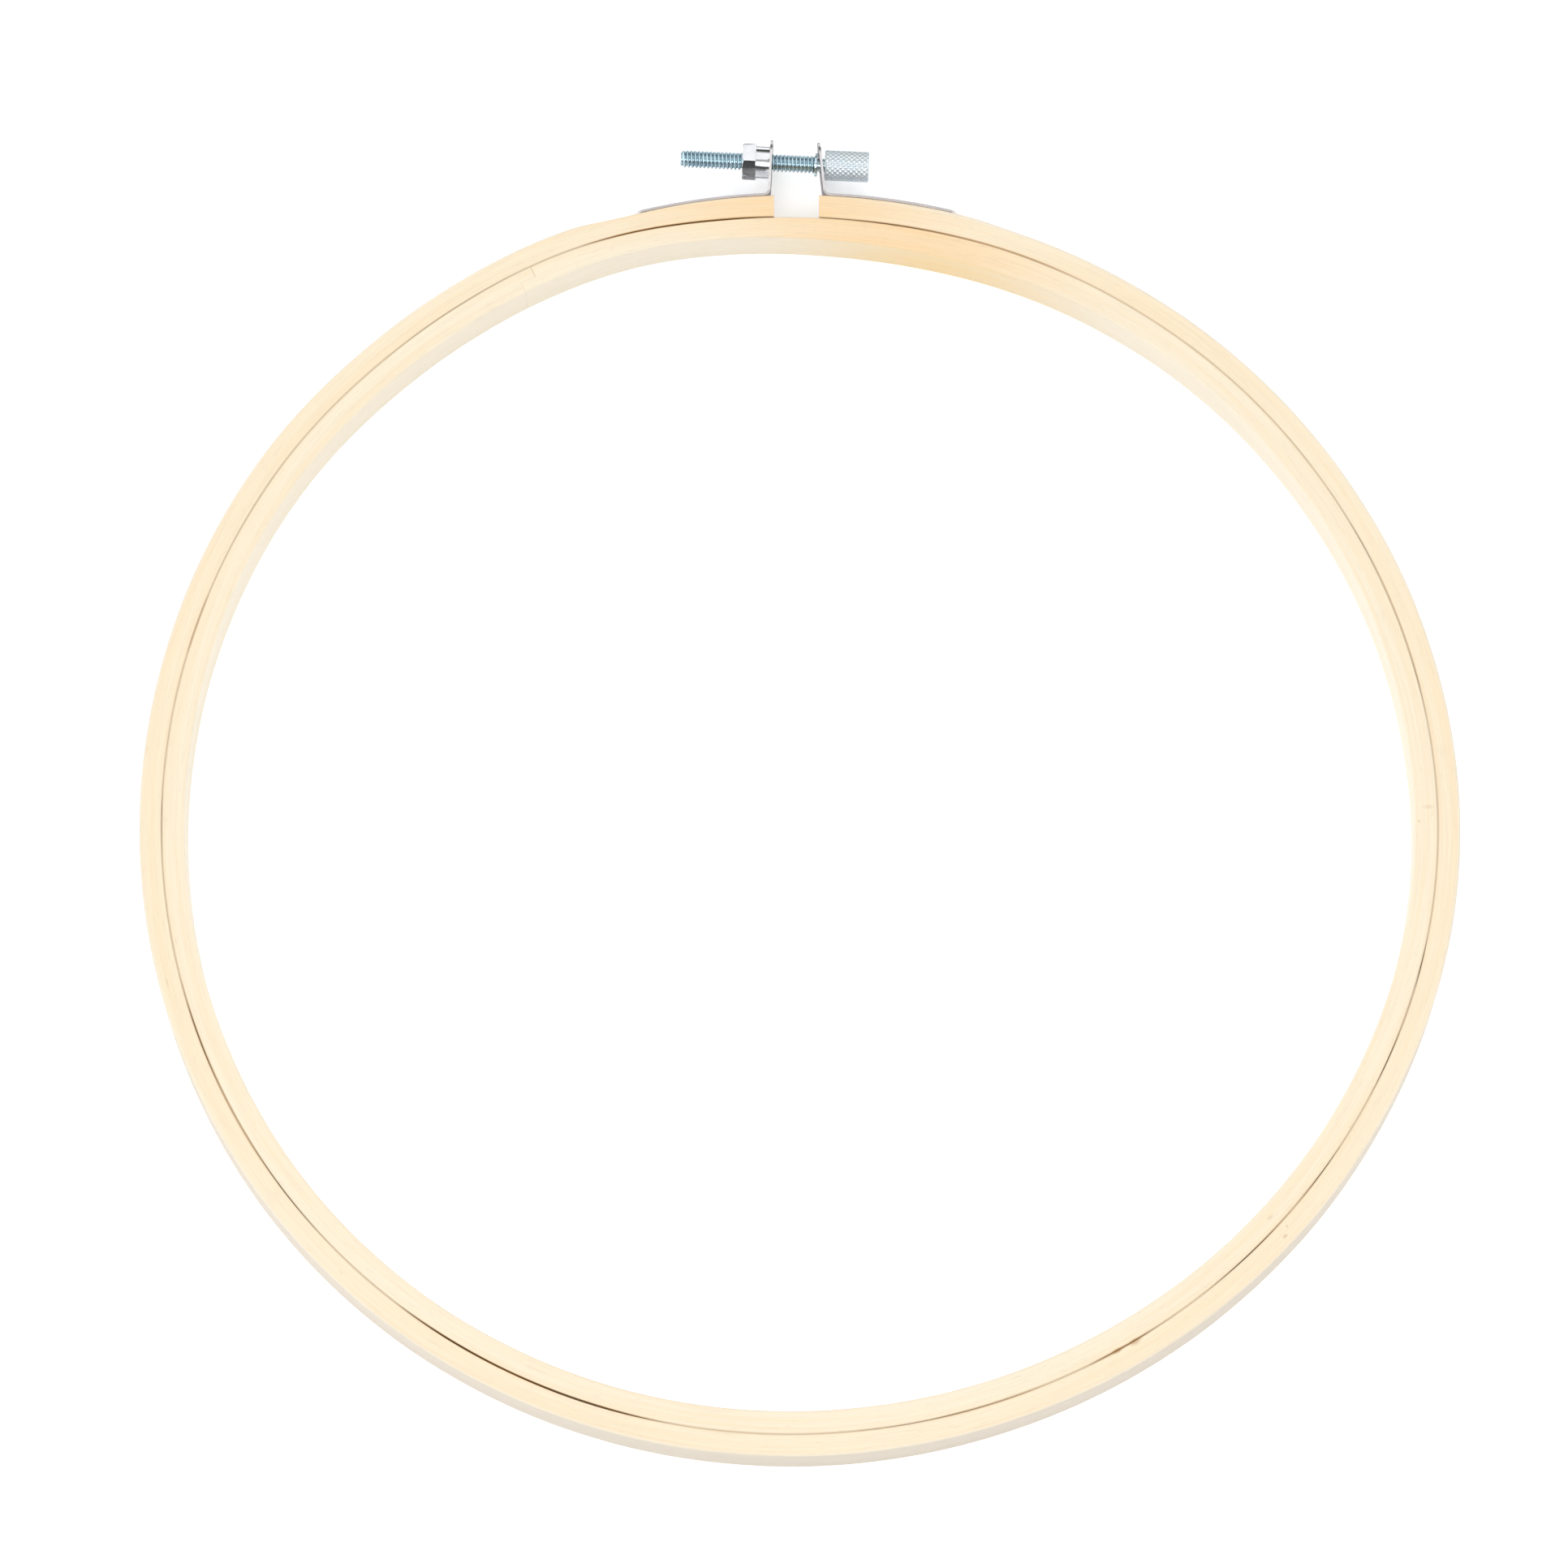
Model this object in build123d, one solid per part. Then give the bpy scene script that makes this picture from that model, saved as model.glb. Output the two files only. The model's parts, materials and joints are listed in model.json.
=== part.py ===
"""Round wooden embroidery hoop, lying flat, in millimetres.

A plain inner ring sits inside a split outer ring. Each end of the outer ring
carries a bent sheet-metal bracket, and a knurled screw draws the two ears of
the brackets together through a nut that is staked into the left one.

The origin is the middle of the hoop's window at half the rings' height. +Z is
the way the inner ring lifts out, and the clamp lies at +Y.
"""

import os
from math import atan2, cos, floor, hypot, radians, sin, sqrt, tan

from build123d import *

# Rings
hoop_outer_diameter = 260.0
ring_height = 9.5
outer_ring_thickness = 4.3
inner_ring_thickness = 4.45
seam_clearance = 0.25
ring_edge_round = 0.5
seam_edge_round = 0.25
clamp_gap = 9.1

# Brackets, one on each end of the outer ring
sheet_thickness = 0.5
sheet_seat = 0.02
bracket_edge_margin = 0.2
strip_length = 28.5
strip_corner_round = 2.0
bend_inside_radius = 0.8
nut_ear_setback = 0.8
head_ear_setback = 1.0
head_ear_lean_deg = 6.0

# Screw with its knurled head
screw_tilt_deg = 2.8
thread_diameter = 3.5
thread_pitch = 0.79
thread_depth = 0.45
thread_beyond_nut = 12.6
screw_neck_diameter = 2.8
head_diameter = 6.2
head_length = 8.9
head_chamfer = 0.2
opening_turns = 12.0

# Collar that keeps the screw in its ear
collar_diameter = 4.6
collar_thickness = 0.5
ear_play = 0.1
ear_hole_clearance = 0.25

# Nut, staked into the other ear
nut_across_flats = 7.0
nut_turn_deg = 17.0
nut_hex_length = 2.7
nut_round_diameter = 6.4
nut_round_length = 2.8
nut_chamfer = 0.3
nut_spigot_wall = 0.6
nut_strip_clearance = 3.9
thread_running_clearance = 0.06
press_clearance = 0.02

# Brads that hold the brackets on
brad_shank_diameter = 1.4
brad_head_diameter = 3.2
brad_head_height = 0.7
brad_end_setback = 0.3
first_brad_from_ear = 8.0
brad_spacing = 12.0

# Shares of the sizes that they follow
thread_crest_share = 0.15
thread_root_share = 0.2
brad_head_round_share = 0.8
cut_overrun_share = 1.5

# Radii of the rings
outer_ring_outer_radius = hoop_outer_diameter / 2
outer_ring_inner_radius = outer_ring_outer_radius - outer_ring_thickness
inner_ring_outer_radius = outer_ring_inner_radius - seam_clearance
inner_ring_inner_radius = inner_ring_outer_radius - inner_ring_thickness

# Brackets follow the ring and are a little narrower than it is high
bracket_width = ring_height - 2 * bracket_edge_margin
strip_inner_radius = outer_ring_outer_radius + sheet_seat
strip_middle_radius = strip_inner_radius + sheet_thickness / 2
strip_outer_radius = strip_inner_radius + sheet_thickness
bend_middle_radius = bend_inside_radius + sheet_thickness / 2

# The screw's axis crosses the middle of the clamp gap at this point
nut_corner_radius = nut_across_flats / sqrt(3)
screw_axis_y = strip_outer_radius + nut_strip_clearance + nut_corner_radius
screw_tilt = radians(screw_tilt_deg)
screw_direction = (cos(screw_tilt), -sin(screw_tilt))

thread_radius = thread_diameter / 2
thread_root_radius = thread_radius - thread_depth
nut_bore_radius = thread_radius + thread_running_clearance
nut_spigot_radius = nut_bore_radius + nut_spigot_wall
screw_travel = opening_turns * thread_pitch


def ear_line(side, lean_deg, setback):
    """Middle line of an ear: where the screw crosses it, its direction and its normal.

    side is -1 for the ear left of the gap and 1 for the right one. A positive lean
    tips the ear to the right. The normal points away from the gap.
    """
    lean = radians(lean_deg)
    along = (sin(lean), cos(lean))
    normal = (side * cos(lean), -side * sin(lean))
    foot_x = side * (clamp_gap / 2 + setback)
    foot_y = sqrt(strip_inner_radius**2 - foot_x**2)
    middle = (
        foot_x + normal[0] * sheet_thickness / 2,
        foot_y + normal[1] * sheet_thickness / 2,
    )
    # Distance from the foot to the screw's axis, along the ear
    across = (sin(screw_tilt), cos(screw_tilt))
    rise = (screw_axis_y - middle[1]) * across[1] - middle[0] * across[0]
    step = rise / (along[0] * across[0] + along[1] * across[1])
    crossing = (middle[0] + step * along[0], middle[1] + step * along[1])
    return crossing, along, normal


def along_screw(point):
    """Distance of a point along the screw's axis, from the middle of the gap."""
    return point[0] * screw_direction[0] + (point[1] - screw_axis_y) * screw_direction[1]


def screw_plane(distance):
    """Plane square to the screw at that distance along its axis."""
    x, y = screw_direction
    origin = (distance * x, screw_axis_y + distance * y, 0)
    return Plane(origin=origin, x_dir=(0, 0, 1), z_dir=(x, y, 0))


nut_ear = ear_line(-1, screw_tilt_deg, nut_ear_setback)
head_ear = ear_line(1, -head_ear_lean_deg, head_ear_setback)

# Places along the screw, from the nut at the left to the head at the right
nut_seat = along_screw(nut_ear[0]) - sheet_thickness / 2
nut_left_face = nut_seat - nut_round_length - nut_hex_length
thread_end = nut_left_face - thread_beyond_nut
ear_skew = radians(head_ear_lean_deg + screw_tilt_deg)
head_ear_half = sheet_thickness / 2 / cos(ear_skew) + ear_play
collar_right_face = (
    along_screw(head_ear[0]) - head_ear_half - collar_diameter / 2 * tan(ear_skew)
)
collar_left_face = collar_right_face - collar_thickness
head_left_face = along_screw(head_ear[0]) + head_ear_half + head_diameter / 2 * tan(ear_skew)
head_right_face = head_left_face + head_length


def ring(inner_radius, outer_radius, inner_round, outer_round):
    """Flat ring of the hoop's height, with rounds of their own on its inner and outer edges."""
    body = Cylinder(outer_radius, ring_height) - Cylinder(inner_radius, ring_height)
    edges = body.edges().filter_by(GeomType.CIRCLE).sort_by(SortBy.RADIUS)
    body = fillet(edges[:2], inner_round)
    edges = body.edges().filter_by(GeomType.CIRCLE).sort_by(SortBy.RADIUS)
    return fillet(edges[-2:], outer_round)


def radial_plane(side, arc_length, radius):
    """Plane facing outwards at that distance along the ring from the middle of the clamp."""
    angle = side * arc_length / outer_ring_outer_radius
    outwards = (sin(angle), cos(angle), 0)
    origin = (radius * sin(angle), radius * cos(angle), 0)
    return Plane(origin=origin, x_dir=(0, 0, 1), z_dir=outwards)


def brad_places():
    """Distances of the brads from the middle of the clamp, along the ring."""
    first = clamp_gap / 2 + first_brad_from_ear
    return [first, first + brad_spacing]


def brad_holes(side, clearance):
    """Round bars through strip and wood where the brads go."""
    radius = brad_shank_diameter / 2 + clearance
    half_length = cut_overrun_share * (outer_ring_thickness + sheet_thickness)
    bars = [
        radial_plane(side, place, outer_ring_outer_radius) * Cylinder(radius, 2 * half_length)
        for place in brad_places()
    ]
    return bars[0] + bars[1:]


def outer_ring():
    """Ring cut open at the clamp, with holes for the brads."""
    gap = Pos(0, outer_ring_outer_radius, 0) * Box(
        clamp_gap, outer_ring_outer_radius, cut_overrun_share * ring_height
    )
    body = ring(
        outer_ring_inner_radius, outer_ring_outer_radius, seam_edge_round, ring_edge_round
    )
    body -= gap
    for side in (-1, 1):
        body -= brad_holes(side, press_clearance)
    return body


def inner_ring():
    """Closed ring that holds the cloth against the outer ring."""
    return ring(
        inner_ring_inner_radius, inner_ring_outer_radius, ring_edge_round, seam_edge_round
    )


def bracket(side, ear, hole_radius):
    """Sheet strip along the ring, bent outwards into an ear with a round end."""
    crossing, along, normal = ear

    # Centre of the bend, one bend radius from the strip and from the ear
    start = (
        crossing[0] + bend_middle_radius * normal[0],
        crossing[1] + bend_middle_radius * normal[1],
    )
    half_b = start[0] * along[0] + start[1] * along[1]
    reach = strip_middle_radius + bend_middle_radius
    step = -half_b + sqrt(half_b**2 - start[0] ** 2 - start[1] ** 2 + reach**2)
    bend = (start[0] + step * along[0], start[1] + step * along[1])

    far_angle = side * (clamp_gap / 2 + strip_length) / outer_ring_outer_radius
    bend_angle = atan2(bend[0], bend[1])

    def side_curve(offset):
        """One side of the sheet, from the strip's far end to the ear's tip."""
        strip_radius = strip_middle_radius + offset
        bend_radius = bend_middle_radius - offset
        far = on_circle(far_angle, strip_radius)
        middle = on_circle((far_angle + bend_angle) / 2, strip_radius)
        near = on_circle(bend_angle, strip_radius)
        top = (bend[0] - bend_radius * normal[0], bend[1] - bend_radius * normal[1])
        inwards = (near[0] + top[0] - 2 * bend[0], near[1] + top[1] - 2 * bend[1])
        scale = bend_radius / hypot(*inwards)
        corner = (bend[0] + scale * inwards[0], bend[1] + scale * inwards[1])
        tip = (
            crossing[0] + along[0] * bracket_width / 2 + normal[0] * offset,
            crossing[1] + along[1] * bracket_width / 2 + normal[1] * offset,
        )
        curves = [
            ThreePointArc(far, middle, near),
            ThreePointArc(near, corner, top),
            Line(top, tip),
        ]
        return curves, far, tip

    outer_curves, outer_far, outer_tip = side_curve(sheet_thickness / 2)
    inner_curves, inner_far, inner_tip = side_curve(-sheet_thickness / 2)
    closing = [Line(outer_far, inner_far), Line(outer_tip, inner_tip)]
    outline = make_face(outer_curves + inner_curves + closing)
    body = extrude(outline, bracket_width / 2, both=True)

    far_corners = [
        Vector(*on_circle(far_angle, strip_middle_radius), end * bracket_width / 2)
        for end in (-1, 1)
    ]
    short_edges = [body.edges().sort_by_distance(corner)[0] for corner in far_corners]
    body = fillet(short_edges, strip_corner_round)

    ear_plane = Plane(origin=(*crossing, 0), x_dir=(0, 0, -side), z_dir=(*normal, 0))
    beyond = Pos(0, bracket_width / 2) * Rectangle(
        cut_overrun_share * bracket_width, bracket_width
    )
    round_end = beyond - Circle(bracket_width / 2)
    body -= extrude(ear_plane * round_end, sheet_thickness, both=True)
    body -= ear_plane * Cylinder(hole_radius, cut_overrun_share * sheet_thickness)
    return body - brad_holes(side, press_clearance)


def on_circle(angle, radius):
    """Point at that angle from +Y, towards +X."""
    return radius * sin(angle), radius * cos(angle)


def brad():
    """One brad standing along Z, with the underside of its head at zero."""
    depth = sheet_thickness + sheet_seat + outer_ring_thickness - brad_end_setback
    shank = Cylinder(
        brad_shank_diameter / 2, depth, align=(Align.CENTER, Align.CENTER, Align.MAX)
    )
    head = Cylinder(
        brad_head_diameter / 2,
        brad_head_height,
        align=(Align.CENTER, Align.CENTER, Align.MIN),
    )
    rim = head.edges().sort_by(Axis.Z)[-1]
    return shank + fillet(rim, brad_head_round_share * brad_head_height)


def brads(side):
    """The brads of one bracket, as separate solids, with their heads on the strip."""
    return [
        radial_plane(side, place, strip_outer_radius) * brad() for place in brad_places()
    ]


def thread_profile(start, end):
    """Points along ridges of the thread's shape from start to end."""
    root_flat = thread_root_share * thread_pitch
    crest_flat = thread_crest_share * thread_pitch
    flank = (thread_pitch - root_flat - crest_flat) / 2
    turns = floor((end - start) / thread_pitch)
    points = []
    for turn in range(turns):
        low = start + turn * thread_pitch
        points += [
            (thread_root_radius, low),
            (thread_radius, low + flank),
            (thread_radius, low + flank + crest_flat),
            (thread_root_radius, low + flank + crest_flat + flank),
        ]
    return points + [(thread_root_radius, end)]


def clamp_screw():
    """Threaded screw, necked where it turns in its ear, with a round head."""
    neck_radius = screw_neck_diameter / 2
    head_radius = head_diameter / 2
    points = [(0, thread_end)]
    points += thread_profile(thread_end, collar_left_face)
    points += [
        (neck_radius, collar_left_face),
        (neck_radius, head_left_face),
        (head_radius - head_chamfer, head_left_face),
        (head_radius, head_left_face + head_chamfer),
        (head_radius, head_right_face - head_chamfer),
        (head_radius - head_chamfer, head_right_face),
        (0, head_right_face),
    ]
    profile = make_face(Polyline(*points, close=True))
    upright = Plane(origin=(0, 0, 0), x_dir=(1, 0, 0), z_dir=(0, -1, 0))
    return screw_plane(0) * revolve(upright * profile, Axis.Z)


def retaining_collar():
    """Thin round collar crimped on the screw's neck, on the gap side of the ear."""
    body = Cylinder(
        collar_diameter / 2,
        collar_thickness,
        align=(Align.CENTER, Align.CENTER, Align.MIN),
    )
    bore = Cylinder(
        screw_neck_diameter / 2 + press_clearance, 2 * cut_overrun_share * collar_thickness
    )
    return screw_plane(collar_left_face) * (body - bore)


def clamp_nut():
    """Hexagon nut with a round shank and a spigot that is staked into the ear."""
    on_base = (Align.CENTER, Align.CENTER, Align.MIN)
    hexagon = extrude(RegularPolygon(nut_corner_radius, 6), nut_hex_length)
    blank = Cylinder(nut_corner_radius, nut_hex_length, align=on_base)
    corner_height = nut_corner_radius - nut_across_flats / 2
    blank = chamfer(blank.edges().sort_by(Axis.Z)[0], nut_chamfer, corner_height)
    body = hexagon & blank
    body += Pos(0, 0, nut_hex_length) * Cylinder(
        nut_round_diameter / 2, nut_round_length, align=on_base
    )
    shoulder = nut_hex_length + nut_round_length
    body += Pos(0, 0, shoulder) * Cylinder(nut_spigot_radius, sheet_thickness, align=on_base)
    body -= Cylinder(nut_bore_radius, 2 * cut_overrun_share * shoulder)
    return screw_plane(nut_left_face) * Rot(0, 0, nut_turn_deg) * body


nodes = {
    "outer_ring": outer_ring(),
    "inner_ring": inner_ring(),
    "nut_bracket": bracket(-1, nut_ear, nut_spigot_radius + press_clearance),
    "head_bracket": bracket(1, head_ear, thread_radius + ear_hole_clearance),
    "nut_bracket_brads": Compound(children=brads(-1)),
    "head_bracket_brads": Compound(children=brads(1)),
    "clamp_nut": clamp_nut(),
    "clamp_screw": clamp_screw(),
    "retaining_collar": retaining_collar(),
}

os.makedirs("parts", exist_ok=True)
for name, shape in nodes.items():
    export_step(shape, f"parts/{name}.step")

print("window radius", inner_ring_inner_radius)
print("screw axis point", (0, screw_axis_y, 0), "direction", (*screw_direction, 0))
print("screw travel", screw_travel, "in degrees", 360 * opening_turns)
print("thread from", thread_end, "nut", nut_left_face, nut_seat)
print("collar", collar_left_face, collar_right_face, "head", head_left_face, head_right_face)
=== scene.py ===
"""Looks of the embroidery hoop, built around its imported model.

Metres, in the model's own frame: the rings lie flat around the origin, +Z is up,
the clamp is at +Y and the screw's head is towards +X. The rings' radii, the gap
of the clamp and every place along the screw are read from the model.
"""

import json
from math import asin, cos, hypot, pi, radians, sin, sqrt, tan, tau

import bmesh
import bpy
import numpy as np
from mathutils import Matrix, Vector, noise

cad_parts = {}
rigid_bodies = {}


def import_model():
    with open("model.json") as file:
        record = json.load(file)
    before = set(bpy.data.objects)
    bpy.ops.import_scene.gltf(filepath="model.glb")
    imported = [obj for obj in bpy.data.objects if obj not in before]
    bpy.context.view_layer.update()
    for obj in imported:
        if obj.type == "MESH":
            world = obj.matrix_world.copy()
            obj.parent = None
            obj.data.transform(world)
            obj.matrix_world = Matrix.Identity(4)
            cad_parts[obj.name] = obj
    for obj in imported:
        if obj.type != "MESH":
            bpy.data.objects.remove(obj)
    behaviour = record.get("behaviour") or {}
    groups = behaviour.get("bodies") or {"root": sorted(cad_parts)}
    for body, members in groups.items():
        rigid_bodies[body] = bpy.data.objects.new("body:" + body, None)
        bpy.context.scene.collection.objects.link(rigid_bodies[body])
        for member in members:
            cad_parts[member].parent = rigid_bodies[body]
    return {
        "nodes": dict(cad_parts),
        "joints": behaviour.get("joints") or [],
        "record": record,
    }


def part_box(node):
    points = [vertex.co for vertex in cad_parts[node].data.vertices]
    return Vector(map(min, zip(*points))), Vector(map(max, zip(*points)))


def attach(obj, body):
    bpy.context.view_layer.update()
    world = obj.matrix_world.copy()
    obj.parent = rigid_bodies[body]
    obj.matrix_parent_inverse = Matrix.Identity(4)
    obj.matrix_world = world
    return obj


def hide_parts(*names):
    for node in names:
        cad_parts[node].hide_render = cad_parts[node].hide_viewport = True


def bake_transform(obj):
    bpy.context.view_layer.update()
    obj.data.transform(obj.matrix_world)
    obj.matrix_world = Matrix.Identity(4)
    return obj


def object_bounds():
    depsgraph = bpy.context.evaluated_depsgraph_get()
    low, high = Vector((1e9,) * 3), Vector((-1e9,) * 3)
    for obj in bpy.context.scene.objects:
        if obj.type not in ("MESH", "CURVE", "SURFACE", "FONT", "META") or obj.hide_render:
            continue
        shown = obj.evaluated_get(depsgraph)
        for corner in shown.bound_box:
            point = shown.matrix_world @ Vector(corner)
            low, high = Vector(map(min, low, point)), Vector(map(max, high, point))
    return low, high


for leftover in list(bpy.data.objects):
    bpy.data.objects.remove(leftover)

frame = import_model()
cad_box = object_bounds()
mm = 0.001

# Camera, fitted to the two rings in the photograph
view_elevation = radians(72.86)
view_distance = 1.5
view_target = Vector((-2.53 * mm, 6.8 * mm, 0))
view_lens = 174.1
sensor_width = 36.0

# Light: an even sky with a pale panel above and one on each side, a dark card low in front
# and one low behind, and one wide lamp. Each pair holds the parts of a unit direction
# between which an edge of a card or panel fades.
sky_level = 0.34
card_darkness = 0.82
card_half_width = (0.45, 0.75)
front_card = (0.66, 0.80)
back_card = (0.86, 0.95)
panel_boost = 0.65
panel_start = (-0.15, 0.10)
panel_stop = (0.77, 0.86)
side_boost = 0.65
side_start = (0.35, 0.60)
side_front = (-0.35, -0.05)
lamp_place = Vector((-0.6, -1.85, 3.1))
lamp_size = 1.9
lamp_power = 46.5

# Floor
floor_size = 60.0
floor_drop = 0.02 * mm
floor_tone = 0.90
floor_glow = 0.38

# Rings: mesh, edges, and the unevenness of hand-sanding with its seed for each ring
ring_segments = 720
round_segments = 6
face_shares = (0.05, 0.2, 0.35, 0.5, 0.65, 0.8, 0.95)
open_edge_round = 0.45 * mm
seam_edge_round = 0.06 * mm
cut_edge_round = 0.12 * mm
cut_edge_segments = 2
round_profile = 0.5
sanding_depth = 0.07 * mm
sanding_waves = 5.0
outer_seed = 3.0
inner_seed = 9.0
edge_wear_share = 0.5
clamp_angle = radians(90)

# How far the bent rings are from round: number of lobes around the hoop, their size and
# direction, and the angles from the clamp between which they set in
ring_lobes = ((3, 0.50 * mm, radians(-22)), (4, 0.05 * mm, radians(139)))
round_at_clamp = radians(16)
free_of_clamp = radians(35)

# Bumps and flats: direction, half width and size, and the angles from the clamp between
# which they set in on the outer side, beside the brackets' strips
ring_bumps = (
    (radians(82), radians(24), -0.62 * mm),
    (radians(109.5), radians(14), 0.80 * mm),
    (radians(131), radians(15), -0.36 * mm),
    (radians(352), radians(24), 0.28 * mm),
    (radians(48), radians(20), 0.24 * mm),
)
strip_end = radians(15)
strip_free = radians(21)

# Where the inner ring is thicker or thinner than elsewhere
inner_swells = (
    (radians(75), radians(22), 0.40 * mm),
    (radians(101), radians(14), -0.50 * mm),
)

# Gap between the rings: the least, and where it opens, by how much
least_seam_gap = 0.03 * mm
seam_openings = (
    (radians(12), radians(4), 0.05 * mm),
    (radians(26), radians(4), 0.06 * mm),
    (radians(84), radians(14), 0.18 * mm),
    (radians(99), radians(15), 0.24 * mm),
    (radians(124), radians(10), 0.06 * mm),
    (radians(181), radians(4), 0.07 * mm),
    (radians(202), radians(6), 0.10 * mm),
    (radians(218), radians(7), 0.13 * mm),
    (radians(239), radians(8), 0.28 * mm),
    (radians(250), radians(10), 0.34 * mm),
    (radians(283), radians(11), 0.08 * mm),
    (radians(301), radians(6), 0.08 * mm),
    (radians(314), radians(6), 0.17 * mm),
    (radians(324), radians(4), 0.12 * mm),
    (radians(336), radians(4), 0.12 * mm),
    (radians(345), radians(4), 0.12 * mm),
)

# Lap joint of the inner ring: a stepped line across its faces
joint_angle = radians(115.1)
joint_step = 3.2 * mm
joint_line = 0.12 * mm
joint_strength = 0.75
faint_joint_share = 0.25

# Wood: sizes along the ring, across it and upwards, and the noise values between which the
# bands, streaks and pores begin and end
band_size = (65 * mm, 1.6 * mm, 2.4 * mm)
streak_size = (30 * mm, 0.9 * mm, 2 * mm)
band_limits = (0.35, 0.65)
fibre_size = (14 * mm, 0.16 * mm, 0.16 * mm)
fibre_limits = (0.30, 0.70)
fibre_shade = (0.95, 1.02)
pore_size = (2.6 * mm, 0.10 * mm, 0.10 * mm)
pore_limits = (0.66, 0.76)
pore_strength = 0.22
wood_roughness = (0.48, 0.60)
wood_specular = 0.45
wood_bump = 0.02 * mm

# Detail and roughness of the finest noise, in wood and metal
fine_noise = (3.0, 0.6)

# Upward part of the normal between which a side turns into a face
side_limits = (0.25, 0.90)

# Stains on the wood's upper face: direction, share of the depth, length, width and strength
mark_height = 1.5 * mm
mark_core_share = 0.2
inner_marks = (
    (radians(0.3), 0.62, 0.6 * mm, 1.6 * mm, 0.16),
    (radians(-1.1), 0.20, 0.5 * mm, 0.4 * mm, 0.25),
    (radians(-60.5), 1.0, 1.6 * mm, 0.4 * mm, 0.60),
    (radians(-58.7), 1.0, 1.2 * mm, 0.4 * mm, 0.50),
    (radians(-42.0), 0.55, 1.0 * mm, 0.5 * mm, 0.20),
)
outer_marks = (
    (radians(-42.4), 0.55, 0.8 * mm, 0.5 * mm, 0.35),
    (radians(-41.6), 0.30, 0.5 * mm, 0.3 * mm, 0.30),
    (radians(-60.5), 0.0, 1.6 * mm, 0.6 * mm, 0.60),
    (radians(-58.7), 0.0, 1.8 * mm, 1.1 * mm, 0.50),
    (radians(196.0), 0.60, 1.6 * mm, 0.3 * mm, 0.15),
)

# Stain and painted shade beside the seam, part real browning and part the shade of the gap between
# the rings: their reach across and down, their least strength, and where they are darker, with the
# share of the half width that is darkest
seam_stain_and_shade_reach = (0.02 * mm, 0.22 * mm)
seam_stain_and_shade_height = (0.20 * mm, 1.10 * mm)
seam_stain_and_shade_core_share = 0.3
least_seam_stain_and_shade = 0.34
seam_stains_and_shade = (
    (radians(18), radians(12), 0.50),
    (radians(74), radians(17), 0.75),
    (radians(101), radians(13), 0.95),
    (radians(162), radians(5), 0.60),
    (radians(206), radians(16), 0.70),
    (radians(245), radians(18), 1.00),
    (radians(287), radians(9), 0.55),
    (radians(300), radians(5), 0.75),
    (radians(319), radians(9), 0.50),
    (radians(341), radians(9), 0.50),
)

# Rim: a painted highlight, a paler tone along the open edges of the faces that stands in for their
# sheen
rim_sheen_reach = (0.10 * mm, 0.75 * mm)
rim_sheen_share = 0.65

# Wood that is browned around the clamp: the least share its streaks leave, direction and
# half width on the faces, then on the upright sides with the browning's share
least_streak = 0.8
inner_warmth = (radians(81), radians(24))
outer_warmth = (radians(90), radians(19))
inner_side_warmth = (radians(76), radians(20), 1.0)
outer_side_warmth = (radians(90), radians(19), 0.50)

# Thread: stations along one pitch, as shares of the pitch and of the thread's depth, the radius of
# its point as a share of the root's, and how much painted shade darkens its roots
thread_steps = 72
thread_stations = (
    (0.00, 0.00),
    (0.12, 0.00),
    (0.18, 0.06),
    (0.24, 0.20),
    (0.42, 0.80),
    (0.48, 0.94),
    (0.53, 1.00),
    (0.62, 1.00),
    (0.67, 0.94),
    (0.73, 0.80),
    (0.91, 0.20),
    (0.96, 0.06),
)
thread_point_share = 0.9
thread_root_shade = 0.45

# Knurled head: grooves around it, samples from one to the next, their slant, depth and width as a
# share of their pitch, how much painted shade darkens them, the chamfer, and how many chamfers
# below the radius a point of the head's rim may lie
knurl_count = 20
knurl_samples = 13
knurl_slant = radians(42)
knurl_depth = 0.16 * mm
knurl_groove_share = 0.70
knurl_groove_shade = 0.36
head_chamfer = 0.20 * mm
head_rim_share = 1.5

# Metal: sizes of its clouds and spots, the noise values between which they begin and end,
# and the roughness at the least and the most cloud as shares of the metal's own
cloud_size = (2.2 * mm, 2.2 * mm, 2.2 * mm)
cloud_noise = (4.0, 0.6)
cloud_limits = (0.35, 0.70)
cloud_bump_share = 0.5
spot_size = (0.5 * mm, 0.5 * mm, 0.5 * mm)
spot_detail = 1.0
spot_limits = (0.70, 0.80)
spot_strength = 0.35
rough_limits = (0.7, 1.3)
rough_shares = (0.8, 1.3)
metal_bump = 0.004 * mm

# Worn edges of the sheet metal and the nut, how far the strip reaches beyond the ring, and
# the upward part of the normal between which its cut edge begins
strip_reach = 0.8 * mm
cut_edge_limits = (0.70, 0.95)
weld_distance = 0.001 * mm
point_weld_distance = 0.0001 * mm
worn_edge_width = 0.07 * mm
worn_edge_segments = 2
sharp_angle = radians(35)


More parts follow.
